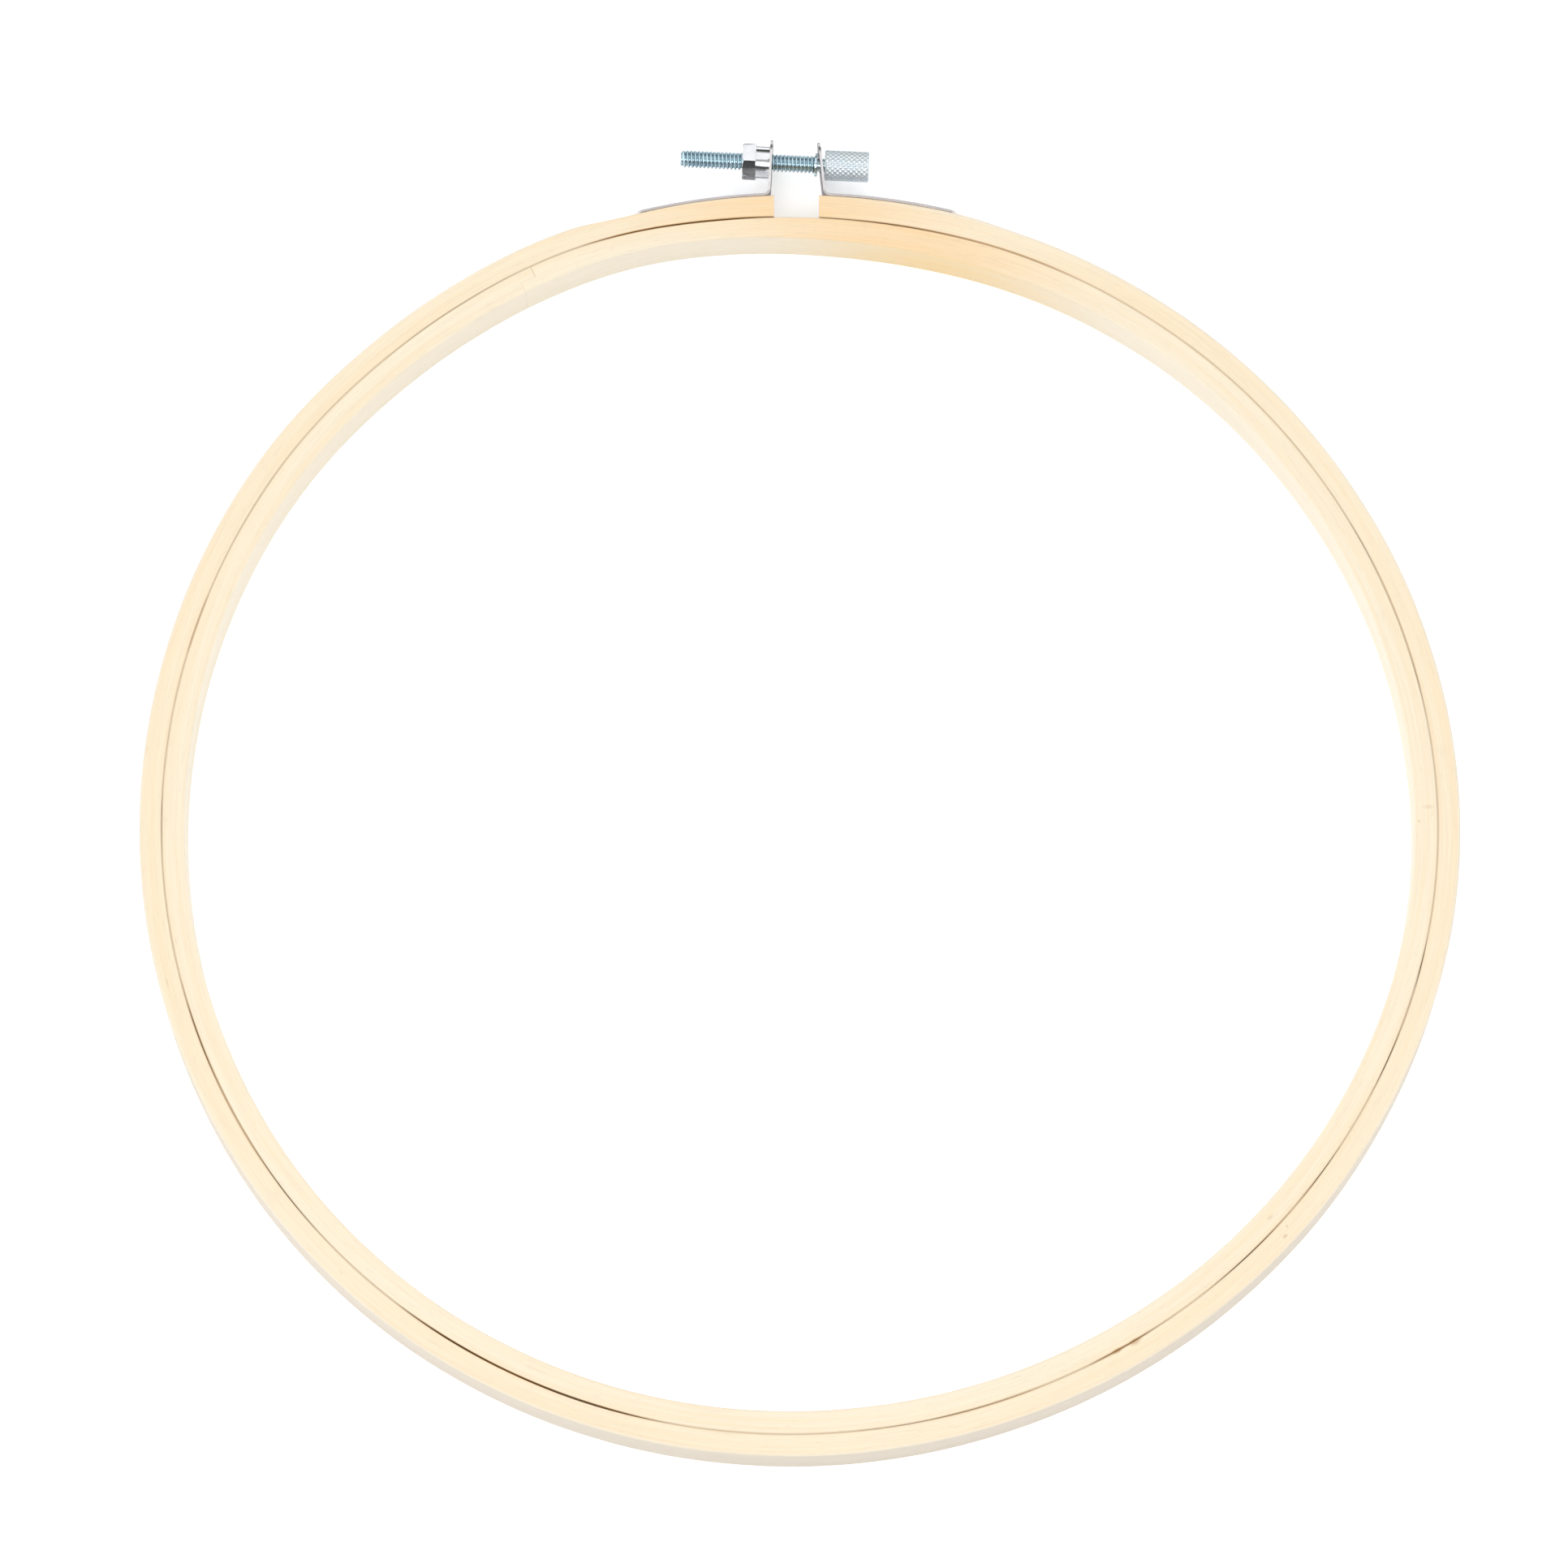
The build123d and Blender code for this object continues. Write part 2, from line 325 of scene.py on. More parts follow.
class Nodes:
    """Adds nodes to a shader tree and links them."""

    def __init__(self, tree):
        self.tree = tree
        tree.nodes.clear()

    def fill(self, socket, value):
        """Links another node's output to a socket, or sets its plain value."""
        if isinstance(value, bpy.types.NodeSocket):
            self.tree.links.new(value, socket)
        else:
            socket.default_value = value

    def add(self, kind, inputs=None, **settings):
        node = self.tree.nodes.new(kind)
        for name, value in settings.items():
            setattr(node, name, value)
        for name, value in (inputs or {}).items():
            self.fill(node.inputs[name], value)
        return node

    def math(self, operation, *values):
        inputs = dict(enumerate(values))
        return self.add("ShaderNodeMath", inputs, operation=operation).outputs[0]

    def vector_math(self, operation, *values):
        inputs = dict(enumerate(values))
        return self.add("ShaderNodeVectorMath", inputs, operation=operation).outputs[0]

    def length(self, vector):
        node = self.add("ShaderNodeVectorMath", {0: vector}, operation="LENGTH")
        return node.outputs["Value"]

    def vector(self, x, y, z):
        return self.add("ShaderNodeCombineXYZ", {"X": x, "Y": y, "Z": z}).outputs["Vector"]

    def upward(self):
        """Unsigned upward part of the surface's normal."""
        normal = self.add("ShaderNodeTexCoord").outputs["Normal"]
        parts = self.add("ShaderNodeSeparateXYZ", {"Vector": normal})
        return self.math("ABSOLUTE", parts.outputs["Z"])

    def noise(self, vector, sizes, detail=2.0, roughness=0.5):
        """Soft noise whose blotches have these sizes along X, Y and Z."""
        scale = tuple(1 / size for size in sizes)
        scaled = self.vector_math("MULTIPLY", vector, scale)
        inputs = {"Vector": scaled, "Scale": 1.0, "Detail": detail, "Roughness": roughness}
        return self.add("ShaderNodeTexNoise", inputs).outputs["Fac"]

    def ramp(self, value, low, high, to_low=0.0, to_high=1.0):
        """Smooth step of a value, from to_low at low to to_high at high."""
        inputs = {
            "Value": value,
            "From Min": low,
            "From Max": high,
            "To Min": to_low,
            "To Max": to_high,
        }
        node = self.add("ShaderNodeMapRange", inputs, interpolation_type="SMOOTHSTEP")
        return node.outputs["Result"]

    def mix(self, share, first, second, blend="MIX"):
        """Mix of two colours."""
        node = self.add("ShaderNodeMix", data_type="RGBA", blend_type=blend)
        colours = [socket for socket in node.inputs if socket.type == "RGBA"]
        self.fill(node.inputs[0], share)
        self.fill(colours[0], first)
        self.fill(colours[1], second)
        return next(socket for socket in node.outputs if socket.type == "RGBA")

    def surface(self, inputs, bump_height, bump_distance):
        """Ends the tree in one surface shader with a fine bump."""
        bump = self.add("ShaderNodeBump", {"Height": bump_height, "Distance": bump_distance})
        inputs = {**inputs, "Normal": bump.outputs["Normal"]}
        shader = self.add("ShaderNodeBsdfPrincipled", inputs)
        self.add("ShaderNodeOutputMaterial", {"Surface": shader.outputs["BSDF"]})


def new_material(name):
    """Empty material and its nodes."""
    material = bpy.data.materials.new(name)
    material.use_nodes = True
    return material, Nodes(material.node_tree)


def colour(red, green, blue):
    return (red, green, blue, 1.0)


# Shape of the rings, read from the model


def vertices_of(node):
    return [vertex.co for vertex in frame["nodes"][node].data.vertices]


def ring_sizes(node, first_angle, seam_outside):
    """Radii and depth of a ring, where its grain starts and which side the seam is on."""
    reach = [hypot(co.x, co.y) for co in vertices_of(node)]
    inside, outside = min(reach), max(reach)
    depth = outside - inside
    return {
        "inside": inside,
        "depth": depth,
        "middle": (inside + outside) / 2,
        "first_angle": first_angle,
        "seam_outside": seam_outside,
        "seam_depth": depth if seam_outside else 0.0,
    }


outer_ring = ring_sizes("outer_ring", clamp_angle, seam_outside=False)
inner_ring = ring_sizes("inner_ring", joint_angle, seam_outside=True)
model_seam_gap = outer_ring["inside"] - inner_ring["inside"] - inner_ring["depth"]
ring_half_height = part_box("outer_ring")[1].z
gap_half = min(abs(co.x) for co in vertices_of("outer_ring") if co.y > outer_ring["inside"] / 2)


def smooth(value):
    """Smooth step from 0 to 1, for one value or an array."""
    value = np.clip(value, 0.0, 1.0)
    return value * value * (3 - 2 * value)


def apart(first, second):
    """Unsigned angle between two directions."""
    return abs((first - second + pi) % tau - pi)


def swells(angle, places):
    """Sum of the smooth swells there, given as direction, half width and size."""
    return sum(size * smooth(1 - apart(angle, middle) / half) for middle, half, size in places)


def lobes(angle):
    """Long waves of the rings, which the clamp holds round."""
    waves = sum(size * np.cos(count * angle - start) for count, size, start in ring_lobes)
    away = apart(angle, clamp_angle)
    return waves * smooth((away - round_at_clamp) / (free_of_clamp - round_at_clamp))


def out_of_round(angle):
    """How far the seam stands outside its circle there."""
    return lobes(angle) + swells(angle, ring_bumps)


def outside_shift(angle):
    """How far the outer ring's outer side does, with no bump under the brackets' strips."""
    away = apart(angle, clamp_angle)
    free = smooth((away - strip_end) / (strip_free - strip_end))
    return lobes(angle) + free * swells(angle, ring_bumps)


def uneven(angle, seed):
    """Gentle unevenness around the ring from -1 to 1, the same again after a whole turn."""
    return noise.noise(Vector((sanding_waves * cos(angle), sanding_waves * sin(angle), seed)))


def section(depth, inner_round, outer_round):
    """Rounded outline of a ring's section: distance from the inner side, and height."""
    half = ring_half_height
    corners = (
        (outer_round, depth - outer_round, half - outer_round),
        (inner_round, inner_round, half - inner_round),
        (inner_round, inner_round, inner_round - half),
        (outer_round, depth - outer_round, outer_round - half),
    )
    arcs = []
    for quarter, (corner_round, x, y) in enumerate(corners):
        shares = [quarter + step / round_segments for step in range(round_segments + 1)]
        turns = [share * pi / 2 for share in shares]
        arcs.append(
            [Vector((x + corner_round * cos(turn), y + corner_round * sin(turn))) for turn in turns]
        )
    points = []
    for arc, following in zip(arcs, arcs[1:] + arcs[:1]):
        points += arc
        points += [arc[-1].lerp(following[0], share) for share in face_shares]
    return points


def ring_points(ring, angle, seed):
    """Radius and height of each point of the section there, out of round and hand-sanded."""
    open_round = open_edge_round * (1 + edge_wear_share * uneven(angle, seed))
    sanded = sanding_depth * uneven(angle, seed + 1)
    top = sanding_depth * uneven(angle, seed + 2) / ring_half_height
    seam_middle = out_of_round(angle)
    half_gap = (least_seam_gap + swells(angle, seam_openings) - model_seam_gap) / 2
    if ring["seam_outside"]:
        rounds = (open_round, seam_edge_round)
        inner_shift = seam_middle + sanded - swells(angle, inner_swells)
        outer_shift = seam_middle - half_gap
    else:
        rounds = (seam_edge_round, open_round)
        inner_shift = seam_middle + half_gap
        outer_shift = outside_shift(angle) - abs(sanded)
    depth = ring["depth"] + outer_shift - inner_shift
    points = []
    for point in section(depth, *rounds):
        radius = ring["inside"] + inner_shift + point.x
        points.append((radius, point.y + top * max(point.y, 0.0)))
    return points


def store_grain(mesh, ring):
    """Gives each face corner its distance along the ring, its depth and its height."""
    places = np.array([vertex.co for vertex in mesh.vertices])
    corners = np.array([loop.vertex_index for loop in mesh.loops])
    centres = np.repeat(
        np.array([face.center for face in mesh.polygons]),
        [face.loop_total for face in mesh.polygons],
        axis=0,
    )
    x, y, z = places[corners].T
    first = ring["first_angle"]
    face_angle = (np.arctan2(centres[:, 1], centres[:, 0]) - first) % tau + first
    angle = face_angle + (np.arctan2(y, x) - face_angle + pi) % tau - pi
    depth = np.hypot(x, y) - ring["inside"] - out_of_round(angle)
    grain = np.stack((angle * ring["middle"], depth, z), axis=1)
    attribute = mesh.attributes.new("grain", "FLOAT_VECTOR", "CORNER")
    attribute.data.foreach_set("vector", grain.astype(np.float32).ravel())


def new_object(name, shape, material):
    """Object from a bmesh, smooth but for its sharp edges."""
    bmesh.ops.recalc_face_normals(shape, faces=shape.faces)
    mesh = bpy.data.meshes.new(name)
    shape.to_mesh(mesh)
    shape.free()
    mesh.shade_smooth()
    mesh.set_sharp_from_angle(angle=sharp_angle)
    mesh.materials.append(material)
    piece = bpy.data.objects.new(name, mesh)
    bpy.context.scene.collection.objects.link(piece)
    return piece


def stitch(shape, rows, closed):
    """Faces between neighbouring rows of vertices, each row going round."""
    following_rows = rows[1:] + rows[:1] if closed else rows[1:]
    for row, following in zip(rows, following_rows):
        for index, vertex in enumerate(row):
            after = (index + 1) % len(row)
            shape.faces.new((vertex, row[after], following[after], following[index]))


def closed_ring(name, ring, seed, material):
    """Whole ring."""
    shape = bmesh.new()
    rows = []
    for step in range(ring_segments):
        angle = ring["first_angle"] + tau * step / ring_segments
        points = ring_points(ring, angle, seed)
        rows.append([shape.verts.new((r * cos(angle), r * sin(angle), z)) for r, z in points])
    stitch(shape, rows, closed=True)
    piece = new_object(name, shape, material)
    store_grain(piece.data, ring)
    return piece


def half_ring(name, ring, side, seed, material):
    """Half of the split ring, from its cut at the clamp to the far side.

    side is -1 for the half left of the clamp and 1 for the right one. The cut end is
    flat and square to X, and its edges are broken.
    """
    shape = bmesh.new()
    rows = []
    steps = ring_segments // 2
    cut_angle = asin(gap_half / ring["middle"])
    for step in range(steps + 1):
        turned = cut_angle + (pi - cut_angle) * step / steps
        angle = clamp_angle - side * turned
        row = []
        for radius, height in ring_points(ring, angle, seed):
            x, y = radius * cos(angle), radius * sin(angle)
            if step == 0:
                x, y = side * gap_half, sqrt(radius**2 - gap_half**2)
            row.append(shape.verts.new((x, y, height)))
        rows.append(row)
    stitch(shape, rows, closed=False)
    cut_face = shape.faces.new(rows[0])
    shape.faces.new(rows[-1])
    bmesh.ops.bevel(
        shape,
        geom=list(cut_face.edges),
        offset=cut_edge_round,
        segments=cut_edge_segments,
        profile=round_profile,
        affect="EDGES",
    )
    piece = new_object(name, shape, material)
    store_grain(piece.data, ring)
    return piece


# Wood

pore_brown = colour(0.50, 0.34, 0.19)
clamp_orange = colour(0.95, 0.69, 0.40)
side_orange = colour(1.00, 0.76, 0.42)
# Seam colour: real browning together with painted shade of the gap between the rings
seam_brown_and_shade = colour(0.42, 0.22, 0.06)
stain_brown = colour(0.44, 0.22, 0.06)
glue_brown = colour(0.55, 0.38, 0.20)


def joint_lines(nodes, along, depth, ring):
    """Lap joint: where its stepped glue line shows, and the distance along the wood past it."""
    start = joint_angle * ring["middle"]
    whole_turn = tau * ring["middle"]
    half = ring["depth"] / 2
    inner_half = nodes.math("LESS_THAN", depth, half)
    outer_half = nodes.math("SUBTRACT", 1.0, inner_half)
    before_step = nodes.math("LESS_THAN", along, start + joint_step)
    lapped = nodes.math("MULTIPLY", inner_half, before_step)
    past = nodes.math("MULTIPLY_ADD", lapped, whole_turn, along)

    def near(value, place):
        off = nodes.math("ABSOLUTE", nodes.math("SUBTRACT", value, place))
        return nodes.ramp(off, 0.0, joint_line, 1.0, 0.0)

    at_start = nodes.math("MAXIMUM", near(along, start), near(along, start + whole_turn))
    outer_line = nodes.math("MULTIPLY", at_start, outer_half)
    inner_line = nodes.math("MULTIPLY", near(along, start + joint_step), inner_half)
    level_line = nodes.math("MULTIPLY", near(depth, half), before_step)
    faint = nodes.math("MULTIPLY", nodes.math("MAXIMUM", inner_line, level_line), faint_joint_share)
    return nodes.math("MAXIMUM", outer_line, faint), past


def along_ring(angle, ring):
    """Distance along the ring's grain to that direction."""
    return ((angle - ring["first_angle"]) % tau + ring["first_angle"]) * ring["middle"]


def away_from(nodes, along, angle, ring):
    """Distance along the ring's grain between a point and that direction, either way round."""
    whole_turn = tau * ring["middle"]
    off = nodes.math("ABSOLUTE", nodes.math("SUBTRACT", along, along_ring(angle, ring)))
    return nodes.math("MINIMUM", off, nodes.math("SUBTRACT", whole_turn, off))


def wood_material(name, ring, pale, warm, skin_and_side_light, painted_rim_sheen, marks, warmth, side_warmth, joint=False):
    """Pale sanded wood: long fibres, pores, a browned seam and the marks that are given.

    The grain attribute holds a point's distance along the ring, its depth from the ring's inner
    side and its height. The colours are those of its pale and warm bands, of its upright sides, the
    bamboo's skin tinted by the painted light and shade given for each ring, and of its open rim, a
    painted sheen.
    """
    material, nodes = new_material(name)
    grain = nodes.add("ShaderNodeAttribute", attribute_name="grain").outputs["Vector"]
    parts = nodes.add("ShaderNodeSeparateXYZ", {"Vector": grain})
    along, depth, height = parts.outputs["X"], parts.outputs["Y"], parts.outputs["Z"]
    fibres = grain
    if joint:
        line, past = joint_lines(nodes, along, depth, ring)
        fibres = nodes.vector(past, depth, height)

    # Broad bands, fine fibres and short dark pores, and the rim's painted sheen
    band = nodes.noise(fibres, band_size)
    fibre = nodes.noise(fibres, fibre_size, *fine_noise)
    pore = nodes.ramp(nodes.noise(fibres, pore_size), *pore_limits)
    base = nodes.mix(nodes.ramp(band, *band_limits), pale, warm)
    open_depth = ring["depth"] - ring["seam_depth"]
    off_edge = nodes.math("ABSOLUTE", nodes.math("SUBTRACT", depth, open_depth))
    base = nodes.mix(nodes.ramp(off_edge, *rim_sheen_reach, rim_sheen_share, 0.0), base, painted_rim_sheen)

    # Browning around the clamp, and the sides' skin with the painted light and shade of its colour

    def near_clamp(middle, half, share=1.0):
        off = away_from(nodes, along, middle, ring)
        return nodes.ramp(off, 0.0, half * ring["middle"], share, 0.0)

    streaks = nodes.noise(fibres, streak_size)
    streak = nodes.ramp(streaks, *band_limits, least_streak, 1.0)
    base = nodes.mix(nodes.math("MULTIPLY", near_clamp(*warmth), streak), base, clamp_orange)
    on_side = nodes.ramp(nodes.upward(), *side_limits, 1.0, 0.0)
    side_streak = nodes.math("MULTIPLY", near_clamp(*side_warmth), streak)
    base = nodes.mix(on_side, base, nodes.mix(side_streak, skin_and_side_light, side_orange))
    shade = nodes.ramp(fibre, *fibre_limits, *fibre_shade)
    base = nodes.mix(1.0, base, nodes.vector(shade, shade, shade), "MULTIPLY")
    base = nodes.mix(nodes.math("MULTIPLY", pore, pore_strength), base, pore_brown)

    # Edge beside the seam: part real browning, part painted shade of the gap between the rings
    off_seam = nodes.math("ABSOLUTE", nodes.math("SUBTRACT", depth, ring["seam_depth"]))
    seam_stain_and_shade = least_seam_stain_and_shade
    for angle, half_width, strength in seam_stains_and_shade:
        off = away_from(nodes, along, angle, ring)
        away = nodes.math("DIVIDE", off, half_width * ring["middle"])
        here = nodes.ramp(away, seam_stain_and_shade_core_share, 1.0, strength, 0.0)
        seam_stain_and_shade = nodes.math("MAXIMUM", seam_stain_and_shade, here)
    at_seam = nodes.ramp(off_seam, *seam_stain_and_shade_reach, 1.0, 0.0)
    off_face = nodes.math("SUBTRACT", ring_half_height, nodes.math("ABSOLUTE", height))
    at_face = nodes.ramp(off_face, *seam_stain_and_shade_height, 1.0, 0.0)
    seam_stain_and_shade = nodes.math("MULTIPLY", seam_stain_and_shade, at_face)
    base = nodes.mix(nodes.math("MULTIPLY", at_seam, seam_stain_and_shade), base, seam_brown_and_shade)

    # Marks and the lap joint's line
    for angle, depth_share, length, width, strength in marks:
        middle = (along_ring(angle, ring), depth_share * ring["depth"], ring_half_height)
        offset = nodes.vector_math("SUBTRACT", grain, middle)
        sizes = (1 / length, 1 / width, 1 / mark_height)
        scaled = nodes.vector_math("MULTIPLY", offset, sizes)
        stain = nodes.ramp(nodes.length(scaled), mark_core_share, 1.0, strength, 0.0)
        base = nodes.mix(stain, base, stain_brown)
    if joint:
        base = nodes.mix(nodes.math("MULTIPLY", line, joint_strength), base, glue_brown)

    nodes.surface(
        {
            "Base Color": base,
            "Roughness": nodes.ramp(band, *fibre_limits, *wood_roughness),
            "Specular IOR Level": wood_specular,
        },
        nodes.math("SUBTRACT", fibre, pore),
        wood_bump,
    )
    return material


# Metal

bare_edge = colour(0.60, 0.56, 0.55)
# Painted shade in the screw's thread roots and the head's knurl grooves
painted_groove_shade = colour(0.20, 0.30, 0.34)


def metal_material(
    name, bright, dull, edge_tint, roughness, brush_size, sheared=False, shaded_grooves=None
):
    """Plated metal: a slightly clouded colour and fine brush marks of this size.

    The edge tint is what it reflects at a low angle. Sheared metal has a bare, dull cut edge along
    the strip beside the ring. Grooves get painted shade: they are given as the radii of their
    bottom and top round the screw's axis, and how strongly the painted shade darkens them.
    """
    material, nodes = new_material(name)
    place = nodes.add("ShaderNodeTexCoord").outputs["Object"]
    cloud = nodes.noise(place, cloud_size, *cloud_noise)
    brush = nodes.noise(place, brush_size, *fine_noise)
    spot = nodes.ramp(nodes.noise(place, spot_size, spot_detail), *spot_limits)
    base = nodes.mix(nodes.ramp(cloud, *cloud_limits), bright, dull)
    base = nodes.mix(nodes.math("MULTIPLY", spot, spot_strength), base, dull)
    least_rough, most_rough = (share * roughness for share in rough_shares)
    marked = nodes.math("ADD", cloud, brush)
    rough = nodes.ramp(marked, *rough_limits, least_rough, most_rough)
    if sheared:
        cut = nodes.ramp(nodes.upward(), *cut_edge_limits)
        reach = nodes.length(nodes.vector_math("MULTIPLY", place, (1.0, 1.0, 0.0)))
        strip_outside = outer_ring["inside"] + outer_ring["depth"] + strip_reach
        on_strip = nodes.ramp(reach, strip_outside, strip_outside + strip_reach, 1.0, 0.0)
        base = nodes.mix(nodes.math("MULTIPLY", cut, on_strip), base, bare_edge)
    # Painted shade, darkest at the bottom of the grooves
    if shaded_grooves:
        bottom, top, groove_shade_strength = shaded_grooves
        groove_shade_share = nodes.ramp(off_screw_axis(nodes, place), bottom, top, groove_shade_strength, 0.0)
        base = nodes.mix(groove_shade_share, base, painted_groove_shade)
    nodes.surface(
        {
            "Base Color": base,
            "Metallic": 1.0,
            "Roughness": rough,
            "Specular Tint": edge_tint,
        },
        nodes.math("ADD", brush, nodes.math("MULTIPLY", cloud, cloud_bump_share)),
        metal_bump,
    )
    return material


def finish_node(node, material, worn_edges=True):
    """Gives a node of the model its material and, where it asks, slightly worn edges."""
    piece = frame["nodes"][node]
    for slot in piece.material_slots:
        slot.material = material
    if worn_edges:
        weld = piece.modifiers.new("weld", "WELD")
        weld.merge_threshold = weld_distance
        bevel = piece.modifiers.new("worn_edges", "BEVEL")
        bevel.width = worn_edge_width
        bevel.segments = worn_edge_segments
        bevel.limit_method = "ANGLE"
        bevel.angle_limit = sharp_angle
        shading = piece.modifiers.new("flat_faces", "WEIGHTED_NORMAL")
        shading.keep_sharp = True


# Screw, with places along its axis read from the model

behaviour = frame["record"]["behaviour"]
screw_joint = next(joint for joint in frame["joints"] if joint["name"] == "screw_turn")
screw_coupling = next(pair for pair in behaviour["couplings"] if pair["joint"] == "screw_turn")
screw_origin = Vector(screw_joint["pos_m"])
screw_axis = Vector(screw_joint["axis"]).normalized()
screw_up = Vector((0, 0, 1))
screw_across = screw_up.cross(screw_axis)
thread_pitch = tau / screw_coupling["ratio"]


def along_screw(node):
    """Each vertex of a node as its distance along the screw's axis and away from it."""
    places = []
    for co in vertices_of(node):
        along = (co - screw_origin).dot(screw_axis)
        places.append((along, (co - screw_origin - along * screw_axis).length))
    return places


def off_screw_axis(nodes, place):
    """Distance of a shaded point from the screw's axis."""
    offset = nodes.vector_math("SUBTRACT", place, tuple(screw_origin))
    return nodes.length(nodes.vector_math("CROSS_PRODUCT", offset, tuple(screw_axis)))


screw_places = along_screw("clamp_screw")
head_radius = max(off for _, off in screw_places)
head_rim = head_radius - head_rim_share * head_chamfer
head_start = min(along for along, off in screw_places if off > head_rim)
head_stop = max(along for along, _ in screw_places)
thread_start = min(along for along, _ in screw_places)
thread_stop = min(along for along, _ in along_screw("retaining_collar"))
crest_radius = max(off for along, off in screw_places if along < thread_stop)

# Points nearer to the axis than this are on end faces, not on the thread or the neck
solid_radius = crest_radius / 2
root_radius = min(off for along, off in screw_places if along < thread_stop and off > solid_radius)
neck_radius = min(
    off for along, off in screw_places if thread_stop < along < head_stop and off > solid_radius
)


def turned_piece(name, columns, material):
    """Closed piece round the screw's axis: one column of (along, radius) for each direction."""
    shape = bmesh.new()
    rows = []
    for step, column in enumerate(columns):
        turn = tau * step / len(columns)
        outwards = cos(turn) * screw_across + sin(turn) * screw_up
        rows.append(
            [
                shape.verts.new(screw_origin + along * screw_axis + radius * outwards)
                for along, radius in column
            ]
        )
    for row, following in zip(rows, rows[1:] + rows[:1]):
        for index in range(len(row) - 1):
            shape.faces.new((row[index], row[index + 1], following[index + 1], following[index]))
    for end in (0, -1):
        shape.faces.new([row[end] for row in rows])
    bmesh.ops.remove_doubles(shape, verts=shape.verts, dist=point_weld_distance)
    return new_object(name, shape, material)


def thread_column(turn):
    """The thread's surface in that direction, from its pointed end to the neck."""
    lead = thread_pitch * turn / tau
    shares, heights = zip(*thread_stations)
    laps = int((thread_stop - thread_start) / thread_pitch) + 2
    column = []
    for lap in range(-1, laps):
        for station in shares:
            place = thread_start + (lap + station) * thread_pitch + lead
            place = min(max(place, thread_start), thread_stop)
            share = ((place - thread_start - lead) / thread_pitch) % 1.0
            height = float(np.interp(share, shares, heights, period=1.0))
            radius = root_radius + (crest_radius - root_radius) * height
            point_limit = thread_point_share * root_radius + place - thread_start
            column.append((place, min(radius, point_limit)))
    return column + [(thread_stop, neck_radius), (head_start + head_chamfer, neck_radius)]


def groove(value):
    """1 in the middle of a knurl groove, falling to 0 beside it."""
    away = abs((value + 0.5) % 1.0 - 0.5)
    return max(0.0, 1 - 2 * away / knurl_groove_share)


def head_column(turn):
    """The knurled head's surface in that direction, from its left face to its right one."""
    round_pitch = tau * head_radius / knurl_count
    long_pitch = round_pitch / tan(knurl_slant)
    row_step = long_pitch / knurl_samples
    rows = int((head_stop - head_start) / row_step)
    column = []
    for row in range(rows + 1):
        place = head_start + (head_stop - head_start) * row / rows
        around = knurl_count * turn / tau
        lengthwise = row / knurl_samples
        cut = knurl_depth * max(groove(around + lengthwise), groove(around - lengthwise))
        from_end = min(place - head_start, head_stop - place)
        column.append((place, min(head_radius - cut, head_radius - head_chamfer + from_end)))
    return column


def columns(surface, steps):
    return [surface(tau * step / steps) for step in range(steps)]


# Materials

outer_wood = wood_material(
    "outer_wood",
    outer_ring,
    pale=colour(0.95, 0.82, 0.61),
    warm=colour(0.945, 0.785, 0.56),
    # Upright sides: bamboo skin darkened with painted shade
    skin_and_side_light=colour(0.83, 0.745, 0.63),
    # Open rim: painted sheen
    painted_rim_sheen=colour(0.91, 0.845, 0.72),
    marks=outer_marks,
    warmth=outer_warmth,
    side_warmth=outer_side_warmth,
)
inner_wood = wood_material(
    "inner_wood",
    inner_ring,
    pale=colour(0.95, 0.84, 0.65),
    warm=colour(0.95, 0.80, 0.58),
    # Upright sides: bamboo skin lightened with painted light
    skin_and_side_light=colour(0.98, 0.89, 0.73),
    # Open rim: painted sheen
    painted_rim_sheen=colour(0.95, 0.84, 0.66),
    marks=inner_marks,
    warmth=inner_warmth,
    side_warmth=inner_side_warmth,
    joint=True,
)
bracket_metal = metal_material(
    "bracket_metal",
    bright=colour(0.84, 0.82, 0.83),
    dull=colour(0.74, 0.72, 0.73),
    edge_tint=colour(0.20, 0.18, 0.20),
    roughness=0.24,
    brush_size=(6 * mm, 6 * mm, 0.12 * mm),
    sheared=True,
)
brad_metal = metal_material(
    "brad_metal",
    bright=colour(0.80, 0.79, 0.78),
    dull=colour(0.68, 0.66, 0.65),
    edge_tint=colour(0.30, 0.28, 0.28),
    roughness=0.26,
    brush_size=(0.6 * mm, 0.6 * mm, 0.6 * mm),
)
nut_metal = metal_material(
    "nut_metal",
    bright=colour(0.95, 0.97, 0.99),
    dull=colour(0.87, 0.89, 0.92),
    edge_tint=colour(0.12, 0.12, 0.14),
    roughness=0.12,
    brush_size=(0.12 * mm, 3 * mm, 3 * mm),
)
screw_metal = metal_material(
    "screw_metal",
    bright=colour(0.76, 0.93, 1.00),
    dull=colour(0.60, 0.76, 0.85),
    edge_tint=colour(0.03, 0.07, 0.09),
    roughness=0.22,
    brush_size=(0.10 * mm, 2 * mm, 2 * mm),
    shaded_grooves=(root_radius, crest_radius, thread_root_shade),
)
head_metal = metal_material(
    "head_metal",
    bright=colour(0.93, 0.99, 1.00),
    dull=colour(0.86, 0.94, 1.00),
    edge_tint=colour(0.08, 0.12, 0.15),
    roughness=0.37,
    brush_size=(0.4 * mm, 0.4 * mm, 0.4 * mm),
    shaded_grooves=(head_radius - knurl_depth, head_radius, knurl_groove_shade),
)

# Rings

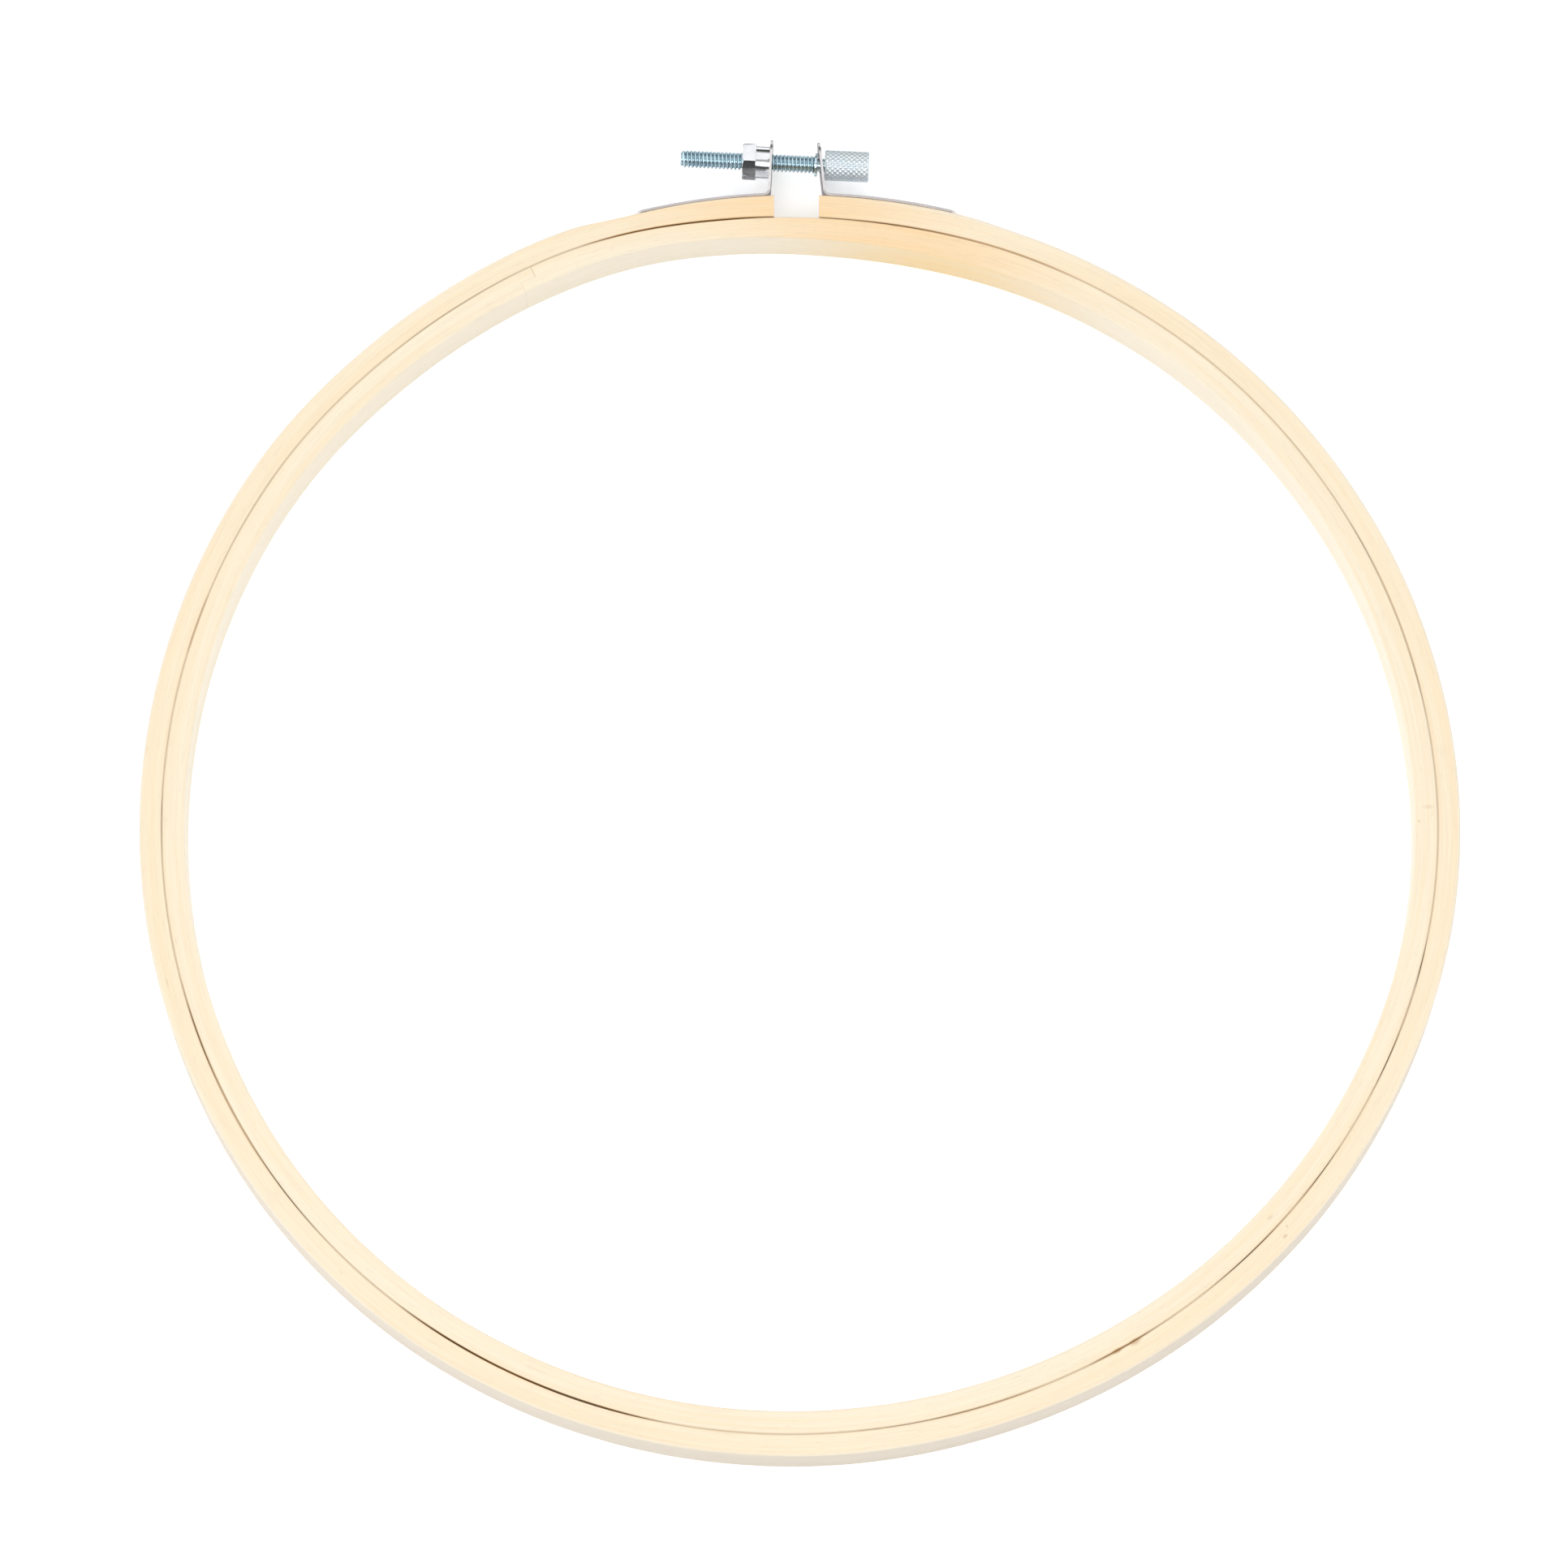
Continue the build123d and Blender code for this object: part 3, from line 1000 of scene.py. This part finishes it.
left_half = half_ring("outer_ring_nut_half", outer_ring, -1, outer_seed, outer_wood)
right_half = half_ring("outer_ring_head_half", outer_ring, 1, outer_seed, outer_wood)
whole_ring = closed_ring("inner_ring_wood", inner_ring, inner_seed, inner_wood)
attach(left_half, "outer_hoop")
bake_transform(right_half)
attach(whole_ring, "inner_hoop")
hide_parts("outer_ring")
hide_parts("outer_ring")
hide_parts("inner_ring")

# Screw

thread = turned_piece("screw_thread", columns(thread_column, thread_steps), screw_metal)
head_steps = knurl_count * knurl_samples
head = turned_piece("screw_head", columns(head_column, head_steps), head_metal)
for piece in (thread, head):
    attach(piece, "screw")
    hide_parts("clamp_screw")

# Small parts that keep the model's own shapes

for node in ("nut_bracket", "head_bracket"):
    finish_node(node, bracket_metal)
for node in ("nut_bracket_brads", "head_bracket_brads"):
    finish_node(node, brad_metal, worn_edges=False)
finish_node("clamp_nut", nut_metal)
finish_node("retaining_collar", screw_metal)

# Floor


def floor_material():
    """Near-white floor that keeps the shadow and shows white around the hoop."""
    material, nodes = new_material("floor")
    ray = nodes.add("ShaderNodeLightPath")
    seen = nodes.math(
        "MAXIMUM",
        ray.outputs["Is Camera Ray"],
        nodes.math("MAXIMUM", ray.outputs["Is Glossy Ray"], ray.outputs["Is Transmission Ray"]),
    )
    paper = nodes.add(
        "ShaderNodeBsdfDiffuse", {"Color": colour(floor_tone, floor_tone, floor_tone)}
    )
    glow = nodes.add(
        "ShaderNodeEmission",
        {"Color": colour(1, 1, 1), "Strength": nodes.math("MULTIPLY", seen, floor_glow)},
    )
    both = nodes.add("ShaderNodeAddShader", {0: paper.outputs[0], 1: glow.outputs[0]})
    nodes.add("ShaderNodeOutputMaterial", {"Surface": both.outputs[0]})
    return material


def floor():
    """Large flat floor just under the rings."""
    half = floor_size / 2
    height = cad_box[0][2] - floor_drop
    mesh = bpy.data.meshes.new("floor")
    corners = [(-half, -half), (half, -half), (half, half), (-half, half)]
    mesh.from_pydata([(x, y, height) for x, y in corners], [], [(0, 1, 2, 3)])
    mesh.materials.append(floor_material())
    piece = bpy.data.objects.new("floor", mesh)
    bpy.context.scene.collection.objects.link(piece)
    return piece


floor()

# Light


def sky():
    """Even sky with pale panels above and beside the hoop, and dark cards before and behind it."""
    world = bpy.data.worlds.new("sky")
    world.use_nodes = True
    nodes = Nodes(world.node_tree)
    direction = nodes.add("ShaderNodeTexCoord").outputs["Generated"]
    parts = nodes.add("ShaderNodeSeparateXYZ", {"Vector": direction})
    from_middle = nodes.math("ABSOLUTE", parts.outputs["X"])
    forwards = nodes.math("MULTIPLY", parts.outputs["Y"], -1.0)
    aside = nodes.ramp(from_middle, *card_half_width, 1.0, 0.0)
    in_front = nodes.ramp(forwards, *front_card)
    behind = nodes.ramp(parts.outputs["Y"], *back_card)
    card = nodes.math("MULTIPLY", aside, nodes.math("MAXIMUM", in_front, behind))
    panel = nodes.math(
        "MULTIPLY",
        nodes.ramp(parts.outputs["Y"], *panel_start),
        nodes.ramp(parts.outputs["Y"], *panel_stop, 1.0, 0.0),
    )
    side = nodes.math(
        "MULTIPLY", nodes.ramp(from_middle, *side_start), nodes.ramp(forwards, *side_front)
    )
    plain = nodes.math("MULTIPLY_ADD", panel, panel_boost, sky_level)
    plain = nodes.math("MULTIPLY_ADD", side, side_boost, plain)
    strength = nodes.math("MULTIPLY_ADD", card, -card_darkness * sky_level, plain)
    background = nodes.add(
        "ShaderNodeBackground", {"Color": colour(1, 1, 1), "Strength": strength}
    )
    nodes.add("ShaderNodeOutputWorld", {"Surface": background.outputs[0]})
    return world


def pointing(place, target):
    """Rotation that turns -Z from a place towards a target, with +Y up."""
    return (target - place).to_track_quat("-Z", "Y").to_euler()


bpy.context.scene.world = sky()
lamp_data = bpy.data.lights.new("lamp", "AREA")
lamp_data.shape = "DISK"
lamp_data.size = lamp_size
lamp_data.energy = lamp_power
lamp = bpy.data.objects.new("lamp", lamp_data)
lamp.location = lamp_place
lamp.rotation_euler = pointing(lamp_place, Vector((0, 0, 0)))
bpy.context.scene.collection.objects.link(lamp)

# Camera

camera_data = bpy.data.cameras.new("camera")
camera_data.lens = view_lens
camera_data.sensor_width = sensor_width
camera_data.clip_end = 2 * floor_size
camera = bpy.data.objects.new("camera", camera_data)
backwards = Vector((0, -cos(view_elevation), sin(view_elevation)))
camera.location = view_target + view_distance * backwards
camera.rotation_euler = pointing(camera.location, view_target)
bpy.context.scene.collection.objects.link(camera)
bpy.context.scene.camera = camera
bpy.context.scene.view_settings.view_transform = "Standard"
